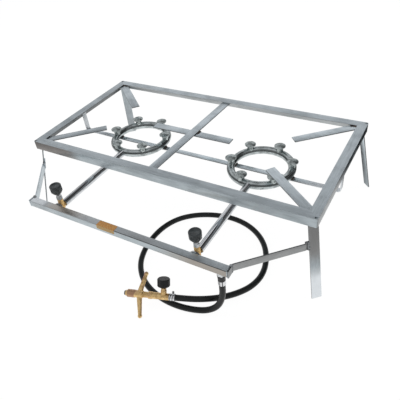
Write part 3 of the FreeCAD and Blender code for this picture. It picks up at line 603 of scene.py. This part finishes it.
# Each bar's tone paints it lighter or darker for the light that falls on it.
for node, light_tone in (("centre_divider", 1.09), ("mid_pot_bar", 1.10),
                   ("pot_bar_front_left", 0.82), ("pot_bar_front_right", 1.19),
                   ("pot_bar_back_left", 1.06), ("pot_bar_back_right", 1.23)):
    way = long_way(node)
    dress(node, node + "_steel", "stand",
          rolled_zinc("zinc_" + node, math.atan2(way.y, way.x), light_tone))


# ---------------------------------------------------------------- legs
# Four flat bars welded across the inside of the corners, splayed outwards to the floor.
# The front right one is bright at its foot and brown above.
LEG_BROWN = (0.30, 0.28, 0.265, 1)
LEG_FACES_ASIDE = 0.69
LEG_FACES_UP = 0.22
FOOT_BRIGHT = (0.05, 0.095)
SHIN_BROWN = (0.085, 0.13)
# Each leg's tone paints it lighter or darker for the light that falls on it.
for node, side, end, light_tone in (("leg_front_left", -1, -1, 1.0),
                              ("leg_front_right", 1, -1, 0.95),
                              ("leg_back_left", -1, 1, 0.76),
                              ("leg_back_right", 1, 1, 1.3)):
    outward = (side * LEG_FACES_ASIDE, end * LEG_FACES_ASIDE, LEG_FACES_UP)
    zinc = rolled_zinc("zinc_" + node, light_tone=light_tone, broad=outward, upright=True)
    if node == "leg_front_right":
        tinted_face(zinc, outward, FOOT_BRIGHT, BEFORE, ZINC_BRIGHT, 0.95, axis="Z")
        tinted_face(zinc, outward, SHIN_BROWN, ONWARDS, LEG_BROWN, 0.7, axis="Z")
    dress(node, node + "_steel", "stand", zinc)


# ---------------------------------------------------------------- burner rings
# Each burner is a ring of plated pipe at the end of a smooth, bright mixing tube, with
# six hollow stems that carry domed caps. Heat has dulled the caps and stems the most.
PIPE_LIGHT = (0.55, 0.60, 0.605, 1)
PIPE_DARK = (0.30, 0.33, 0.33, 1)
# Painted shade: a dark band on the ring pipe, between its top and its side.
PIPE_SHADE_BAND = (0.11, 0.12, 0.12, 1)
BAND_STARTS = (0.10, 0.32)
BAND_ENDS = (0.62, 0.80, 0.85, 0.0)
STEM_LIGHT = (0.50, 0.55, 0.545, 1)
STEM_DARK = (0.24, 0.27, 0.265, 1)
TUBE_LIGHT = (0.72, 0.74, 0.76, 1)
TUBE_DARK = (0.52, 0.54, 0.56, 1)
GRAIN_FINER = 14
TUBE_WALL = 0.0015
TUBE_SIDES = 96


def plated_pipe(name, light, dark, smooth, rough, scale, bump=0.00008, band=None):
    """Plating with soft clouds, and where band is given a band of painted shade along its
    flank.
    """
    material, tree, shader, mapping = new_material(name, smooth, 1.0)
    clouds = add_clouds(tree, mapping, scale, low=0.38, high=0.72)
    plated = blend_colours(tree, clouds, light, dark)
    if band:
        height = facing(tree, UP)
        flank = combined(tree, "MULTIPLY", ranged(tree, height, *BAND_STARTS),
                         ranged(tree, height, *BAND_ENDS))
        plated = blend_colours(tree, flank, plated, band)
    tree.links.new(plated, shader.inputs["Base Color"])
    vary_roughness(tree, shader, clouds, smooth, rough)
    add_grain(tree, shader, mapping, scale * GRAIN_FINER, bump, strength=0.4)
    return material


def paint(material, *nodes):
    """Gives solids that keep their own shape their material."""
    for node in nodes:
        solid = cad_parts[node]
        solid.data.materials.clear()
        solid.data.materials.append(material)


# The ring's band is painted shade along the flank of the pipe.
RING_METAL = plated_pipe("burner_pipe", PIPE_LIGHT, PIPE_DARK, smooth=0.20, rough=0.32,
                         scale=60, bump=0.00001, band=PIPE_SHADE_BAND)
TUBE_METAL = plated_pipe("mixing_tube", TUBE_LIGHT, TUBE_DARK, smooth=0.08, rough=0.13,
                         scale=12, bump=0.000001)
for side in ("left", "right"):
    dress("burner_ring_" + side, "burner_pipe_" + side, "stand", RING_METAL,
          rounding=0)
    low, high = (Vector(corner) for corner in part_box("mixing_tube_" + side))
    bpy.ops.mesh.primitive_cylinder_add(vertices=TUBE_SIDES, radius=(high.x - low.x) / 2,
                                        depth=high.y - low.y, end_fill_type="NOTHING")
    tube = bpy.context.object
    tube.name = tube.data.name = "mixing_pipe_" + side
    tube.data.transform(Matrix.Translation((low + high) / 2)
                        @ Matrix.Rotation(math.radians(90), 4, "X"))
    wall = tube.modifiers.new("wall", "SOLIDIFY")
    wall.thickness, wall.offset = TUBE_WALL, -1
    bpy.ops.object.modifier_apply(modifier="wall")
    bpy.ops.object.shade_smooth_by_angle(angle=SMOOTH_ANGLE)
    tube.data.materials.append(TUBE_METAL)
    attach(tube, "stand")
    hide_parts("mixing_tube_" + side)
paint(plated_pipe("burner_stem", STEM_LIGHT, STEM_DARK, smooth=0.28, rough=0.46, scale=130),
      "burner_stems_left", "burner_stems_right", "burner_caps_left", "burner_caps_right")


# ---------------------------------------------------------------- burner strap
# One narrow flat bar under both rings, bent up at its ends to the side rails, with painted
# light that makes it brighter towards them, and short dark weld beads where it carries the
# rings.
STRAP_RIGHT_END = (0.30, 0.38)
STRAP_LEFT_END = (-0.38, -0.30)
EVERY_WAY = (-2.0, -1.5)    # below any facing, so that the whole bar takes the tint
THIN_ROUND = 0.0005
BEAD_BLACK = (0.030, 0.028, 0.028, 1)
BEAD_GREY = (0.19, 0.14, 0.11, 1)
PLATED_DARK = (0.22, 0.23, 0.235, 1)
PLATED_LIGHT = (0.50, 0.53, 0.55, 1)
BEAD_GRID = 0.0005
BEAD_SHAKE = 0.0006
BEAD_SOFTENING = 3

# The tone paints the whole strap lighter for the light that falls on it.
strap_zinc = rolled_zinc("zinc_strap", light_tone=1.36)
# Painted light: both bent-up ends of the strap are tinted bright.
tinted_face(strap_zinc, UP, STRAP_RIGHT_END, ONWARDS, ZINC_BRIGHT, 0.85, EVERY_WAY)
tinted_face(strap_zinc, UP, STRAP_LEFT_END, BEFORE, ZINC_BRIGHT, 0.7, EVERY_WAY)
dress("burner_strap", "burner_strap_steel", "stand", strap_zinc,
      rounding=THIN_ROUND)


def bead_metal(name, dark, light):
    """Rippled weld metal."""
    material, tree, shader, mapping = new_material(name, 0.55, 0.7)
    clouds = add_clouds(tree, mapping, scale=240, low=0.4, high=0.7)
    tree.links.new(blend_colours(tree, clouds, dark, light),
                   shader.inputs["Base Color"])
    add_grain(tree, shader, mapping, scale=700, distance=0.0003, strength=0.7)
    return material


def cast_lumps(node, name, body, material, grid, shake, repeats):
    """A copy of a solid with the uneven, softened surface of cast or deposited metal."""
    piece = dress(node, name, body, material, rounding=0)
    remesh = piece.modifiers.new("lumps", "REMESH")
    remesh.mode = "VOXEL"
    remesh.voxel_size = grid
    bpy.ops.object.modifier_apply(modifier="lumps")
    bpy.ops.object.mode_set(mode="EDIT")
    bpy.ops.mesh.select_all(action="SELECT")
    bpy.ops.transform.vertex_random(offset=shake, normal=0.5, seed=4)
    bpy.ops.mesh.vertices_smooth(factor=0.5, repeat=repeats)
    bpy.ops.object.mode_set(mode="OBJECT")
    bpy.ops.object.shade_smooth()
    return piece


DARK_BEAD = bead_metal("weld_bead", BEAD_BLACK, BEAD_GREY)
PLATED_BEAD = bead_metal("plated_weld_bead", PLATED_DARK, PLATED_LIGHT)
for node, bead in (("bar_welds", DARK_BEAD), ("burner_welds", DARK_BEAD),
                   ("arm_welds", PLATED_BEAD)):
    cast_lumps(node, node + "_beads", "stand", bead, BEAD_GRID, BEAD_SHAKE,
               BEAD_SOFTENING)


# ---------------------------------------------------------------- gas rail
# A square steel tube that carries gas to both taps, closed and welded at its ends, on two
# flat arms from the front legs. Its tints are painted reflections: brown by the left tap
# and at the right end of its front, bright at its left end, dull grey along its top and
# lighter towards its right, and a dark line along its front corner.
RAIL_BROWN_REFLECTION = (0.40, 0.365, 0.325, 1)
RAIL_GREY_REFLECTION = (0.52, 0.55, 0.565, 1)
LEFT_END_FADE = (-0.25, -0.21)
LEFT_END_BRIGHT = (-0.25, -0.235)
LEFT_TAP_FADE = (-0.08, -0.17)
LEFT_TAP_SHARE = 0.8
FRONT_BROWN = (0.10, 0.22)
TOP_LIGHT = (0.05, 0.20)
CORNER_LINE = (-0.10, 0.02)
RIGHT_ARM_BROWN = (0.27, 0.28)
CAP_ROUND = 0.0004
ARM_ASIDE, ARM_BACK = 0.63, 0.78
RIGHT_ARM_FACE = (ARM_BACK, -ARM_ASIDE, 0)


def rail_zinc():
    """Plated tube whose tints are painted reflections, with a dark line along its front
    corner.
    """
    # The tone paints the tube a little darker for the light that falls on it.
    material = rolled_zinc("zinc_gas_rail", light_tone=0.95, broad=None)
    # Painted reflections: grey along the top, bright at its left end, brown on the right of
    # the front, lighter on the top's right part, and a dark line along the front corner.
    tinted_face(material, UP, LEFT_END_FADE, ONWARDS, RAIL_GREY_REFLECTION)
    tinted_face(material, UP, LEFT_END_BRIGHT, BEFORE, ZINC_BRIGHT, 0.7)
    tinted_face(material, FRONT, FRONT_BROWN, ONWARDS, RAIL_BROWN_REFLECTION, 0.95)
    tinted_face(material, UP, TOP_LIGHT, ONWARDS, ZINC_LIGHT, 0.7)
    tinted_face(material, FRONT_CORNER, CORNER_LINE, ONWARDS, CORNER_DARK_REFLECTION, 0.9, ON_CORNER)
    tree = material.node_tree
    along = distance_along(tree, "X")
    near_tap = combined(tree, "MULTIPLY",
                        ranged(tree, along, *LEFT_TAP_FADE, 0.0, LEFT_TAP_SHARE),
                        ranged(tree, along, *LEFT_END_FADE))
    top = combined(tree, "MULTIPLY", near_tap, ranged(tree, facing(tree, UP), *ON_FACE))
    # Painted reflection: brown on the top by the left tap.
    tint_over(tree, top, RAIL_BROWN_REFLECTION)
    return material


dress("gas_rail", "gas_rail_tube", "stand", rail_zinc())
# The tones of the end caps and the arms paint them lighter or darker for their light.
dress("gas_rail_caps", "gas_rail_end_caps", "stand",
      rolled_zinc("zinc_rail_caps", light_tone=1.15, broad=None), rounding=CAP_ROUND)
for node, side, light_tone, broad in (("rail_arm_left", -1, 1.1, None),
                                ("rail_arm_right", 1, 0.74, RIGHT_ARM_FACE)):
    zinc = rolled_zinc("zinc_" + node, math.atan2(ARM_BACK, side * ARM_ASIDE), light_tone, broad)
    if side > 0:
        tinted_face(zinc, RIGHT_ARM_FACE, RIGHT_ARM_BROWN, ONWARDS, LEG_BROWN, 0.55)
    dress(node, node + "_steel", "stand", zinc, rounding=THIN_ROUND)


# ---------------------------------------------------------------- label
# A plain orange label between the taps: a rounded film that covers the top of the rail
# there and folds down over its front.
LABEL_START, LABEL_END = -0.062, -0.008
LABEL_ON_TOP, LABEL_ON_FRONT = 0.0172, 0.0115
LABEL_FILM = 0.0002
LABEL_CORNER = 0.003
LABEL_ORANGE = (0.38, 0.15, 0.03, 1)
LABEL_FADED = (0.60, 0.38, 0.13, 1)
FADED_SHARE = 0.75

rail_low, rail_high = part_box("gas_rail")
bpy.ops.mesh.primitive_plane_add(size=1)
label = bpy.context.object
label.name = label.data.name = "rail_label"
label.data.transform(Matrix.Translation(((LABEL_START + LABEL_END) / 2,
                                         (LABEL_ON_TOP - LABEL_ON_FRONT) / 2, 0))
                     @ Matrix.Diagonal((LABEL_END - LABEL_START,
                                        LABEL_ON_TOP + LABEL_ON_FRONT, 1, 1)))
bpy.ops.object.mode_set(mode="EDIT")
bpy.ops.mesh.select_all(action="SELECT")
bpy.ops.mesh.bevel(offset=LABEL_CORNER, segments=4, affect="VERTICES")
bpy.ops.mesh.select_all(action="SELECT")
bpy.ops.mesh.bisect(plane_co=(0, 0, 0), plane_no=(0, 1, 0))
bpy.ops.object.mode_set(mode="OBJECT")
for point in label.data.vertices:
    if point.co.y < 0:
        point.co = (point.co.x, 0, point.co.y)
label.data.transform(Matrix.Translation((0, rail_low.y - LABEL_FILM / 2,
                                         rail_high.z + LABEL_FILM / 2)))
film = label.modifiers.new("film", "SOLIDIFY")
film.thickness, film.offset = LABEL_FILM, 0
bpy.ops.object.modifier_apply(modifier="film")
bpy.ops.object.shade_smooth_by_angle(angle=SMOOTH_ANGLE)


def label_film():
    """Faded orange film, paler where it folds over the front."""
    material, tree, shader, mapping = new_material("label_film", 0.34)
    faded = add_clouds(tree, mapping, scale=420, low=0.44, high=0.62)
    top = blend_colours(tree, combined(tree, "MULTIPLY", faded, FADED_SHARE),
                        LABEL_ORANGE, LABEL_FADED)
    front = ranged(tree, facing(tree, FRONT), *ON_FACE)
    tree.links.new(blend_colours(tree, front, top, LABEL_FADED),
                   shader.inputs["Base Color"])
    vary_roughness(tree, shader, faded, smooth=0.30, rough=0.45)
    return material


label.data.materials.append(label_film())
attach(label, "stand")


# ---------------------------------------------------------------- taps
# Brass cocks screwed into the back of the rail, each with a plated gland nut, a turned
# spindle and a charcoal plastic knob. The knobs are a little larger than their solids.
BRASS_LIGHT = (0.86, 0.60, 0.26, 1)
BRASS_DARK = (0.66, 0.42, 0.17, 1)
BRASS_RED = (0.60, 0.34, 0.20, 1)
NICKEL_LIGHT = (0.72, 0.74, 0.75, 1)
NICKEL_DARK = (0.50, 0.52, 0.53, 1)
SPINDLE_LIGHT = (0.45, 0.46, 0.47, 1)
SPINDLE_DARK = (0.28, 0.29, 0.30, 1)
KNOB_CHARCOAL = (0.038, 0.047, 0.050, 1)
KNOB_BLACK = (0.024, 0.029, 0.031, 1)
PLASTIC_SPREAD = 0.12
KNOB_SWELL = 1.12
KNOB_DROP = 0.0010


def warm_brass(name, light, dark, red, smooth, rough):
    """Brass with darker clouds and redder patches."""
    material, tree, shader, mapping = new_material(name, smooth, 1.0)
    clouds = add_clouds(tree, mapping, scale=110, low=0.36, high=0.7)
    rosy = add_clouds(tree, mapping, scale=60, low=0.48, high=0.8)
    plain = blend_colours(tree, clouds, light, dark)
    tree.links.new(blend_colours(tree, rosy, plain, red), shader.inputs["Base Color"])
    vary_roughness(tree, shader, clouds, smooth, rough)
    add_grain(tree, shader, mapping, scale=1100, distance=0.00012, strength=0.5)
    return material


def moulded_plastic(name, plain, clouded, rough, shine=0.5):
    """Plastic or rubber out of a mould, with faint clouds."""
    material, tree, shader, mapping = new_material(name, rough)
    shader.inputs["Specular IOR Level"].default_value = shine
    clouds = add_clouds(tree, mapping, scale=90, low=0.35, high=0.7)
    tree.links.new(blend_colours(tree, clouds, plain, clouded),
                   shader.inputs["Base Color"])
    vary_roughness(tree, shader, clouds, rough, rough + PLASTIC_SPREAD)
    add_grain(tree, shader, mapping, scale=1600, distance=0.00008, strength=0.5)
    return material


paint(warm_brass("tap_brass", BRASS_LIGHT, BRASS_DARK, BRASS_RED, smooth=0.38, rough=0.50),
      "tap_body_left", "tap_body_right")
paint(plated_pipe("nickel_fitting", NICKEL_LIGHT, NICKEL_DARK, smooth=0.26, rough=0.40,
                  scale=120),
      "tap_nut_left", "tap_nut_right", "tap_gland_left", "tap_gland_right", "hose_nipple")
paint(plated_pipe("spindle_steel", SPINDLE_LIGHT, SPINDLE_DARK, smooth=0.25, rough=0.38,
                  scale=150),
      "tap_spindle_left", "tap_spindle_right", "connector_spindle")
KNOB = moulded_plastic("knob_plastic", KNOB_CHARCOAL, KNOB_BLACK, rough=0.34)
for side in ("left", "right"):
    knob = dress("tap_knob_" + side, "tap_grip_" + side, side + "_tap",
                 KNOB, rounding=0)
    low, high = (Vector(corner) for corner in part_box("tap_knob_" + side))
    centre = (low + high) / 2
    knob.data.transform(Matrix.Translation(centre - Vector((0, 0, KNOB_DROP)))
                        @ Matrix.Scale(KNOB_SWELL, 4) @ Matrix.Translation(-centre))


# ---------------------------------------------------------------- hose inlet
# The hose starts in a black moulded collar below the nipple, held by a bright band. The
# connector holds its other end with the same band.
FERRULE_BLACK = (0.012, 0.014, 0.014, 1)
FERRULE_GREY = (0.02, 0.02, 0.02, 1)
CLAMP_BRIGHT = (0.74, 0.75, 0.76, 1)
CLAMP_SLOT = (0.06, 0.06, 0.06, 1)
CLAMP_SLOT_SCALE = 55
CLAMP_SLOT_EDGE = (0.72, 0.90)


def clamp_band():
    """Bright strip steel with the dark slots that its screw drives."""
    material, tree, shader, mapping = new_material("clamp_steel", 0.2, 1.0)
    slots = tree.nodes.new("ShaderNodeTexWave")
    slots.bands_direction = "X"
    slots.inputs["Scale"].default_value = CLAMP_SLOT_SCALE
    tree.links.new(mapping.outputs["Vector"], slots.inputs["Vector"])
    cut = ranged(tree, slots.outputs["Fac"], *CLAMP_SLOT_EDGE)
    tree.links.new(blend_colours(tree, cut, CLAMP_BRIGHT, CLAMP_SLOT),
                   shader.inputs["Base Color"])
    vary_roughness(tree, shader, cut, smooth=0.16, rough=0.5)
    add_bump(tree, shader, cut, distance=0.0003, strength=0.5)
    return material


paint(moulded_plastic("ferrule_black", FERRULE_BLACK, FERRULE_GREY, rough=0.22, shine=0.3),
      "hose_ferrule")
paint(clamp_band(), "nipple_clamp", "connector_clamp")


# ---------------------------------------------------------------- cylinder connector
# A brass connector for the gas cylinder: a turned body with a small valve, and a cast
# wing nut with a redder collar that turns on it by hand.
CAST_LIGHT = (0.88, 0.63, 0.30, 1)
CAST_DARK = (0.56, 0.37, 0.16, 1)
CAST_RED = (0.60, 0.38, 0.25, 1)
COLLAR_RED = (0.42, 0.24, 0.16, 1)
COLLAR_END = 0.060
COLLAR_FADE = 0.002
COLLAR_SHARE = 0.8
CAST_GRID = 0.0007
CAST_SHAKE = 0.0005
CAST_SOFTENING = 4
VALVE_BLACK = (0.006, 0.007, 0.007, 1)
VALVE_GREY = (0.013, 0.013, 0.013, 1)
SEAL_BLACK = (0.018, 0.018, 0.018, 1)
SEAL_GREY = (0.03, 0.03, 0.03, 1)

paint(warm_brass("connector_brass", CAST_LIGHT, CAST_DARK, CAST_RED, smooth=0.30,
                 rough=0.42),
      "connector_body", "connector_gland")
cast = warm_brass("cast_brass", CAST_LIGHT, CAST_DARK, CAST_RED, smooth=0.32, rough=0.48)
collar = ranged(cast.node_tree, distance_along(cast.node_tree, "X"), COLLAR_END,
                COLLAR_END + COLLAR_FADE, COLLAR_SHARE, 0.0)
tint_over(cast.node_tree, collar, COLLAR_RED)
wing_casting = cast_lumps("wing_nut", "wing_nut_casting", "wing_nut",
                          cast, CAST_GRID, CAST_SHAKE, CAST_SOFTENING)
paint(moulded_plastic("valve_plastic", VALVE_BLACK, VALVE_GREY, rough=0.3, shine=0.28),
      "connector_knob")
paint(moulded_plastic("seal_rubber", SEAL_BLACK, SEAL_GREY, rough=0.5), "connector_seal")
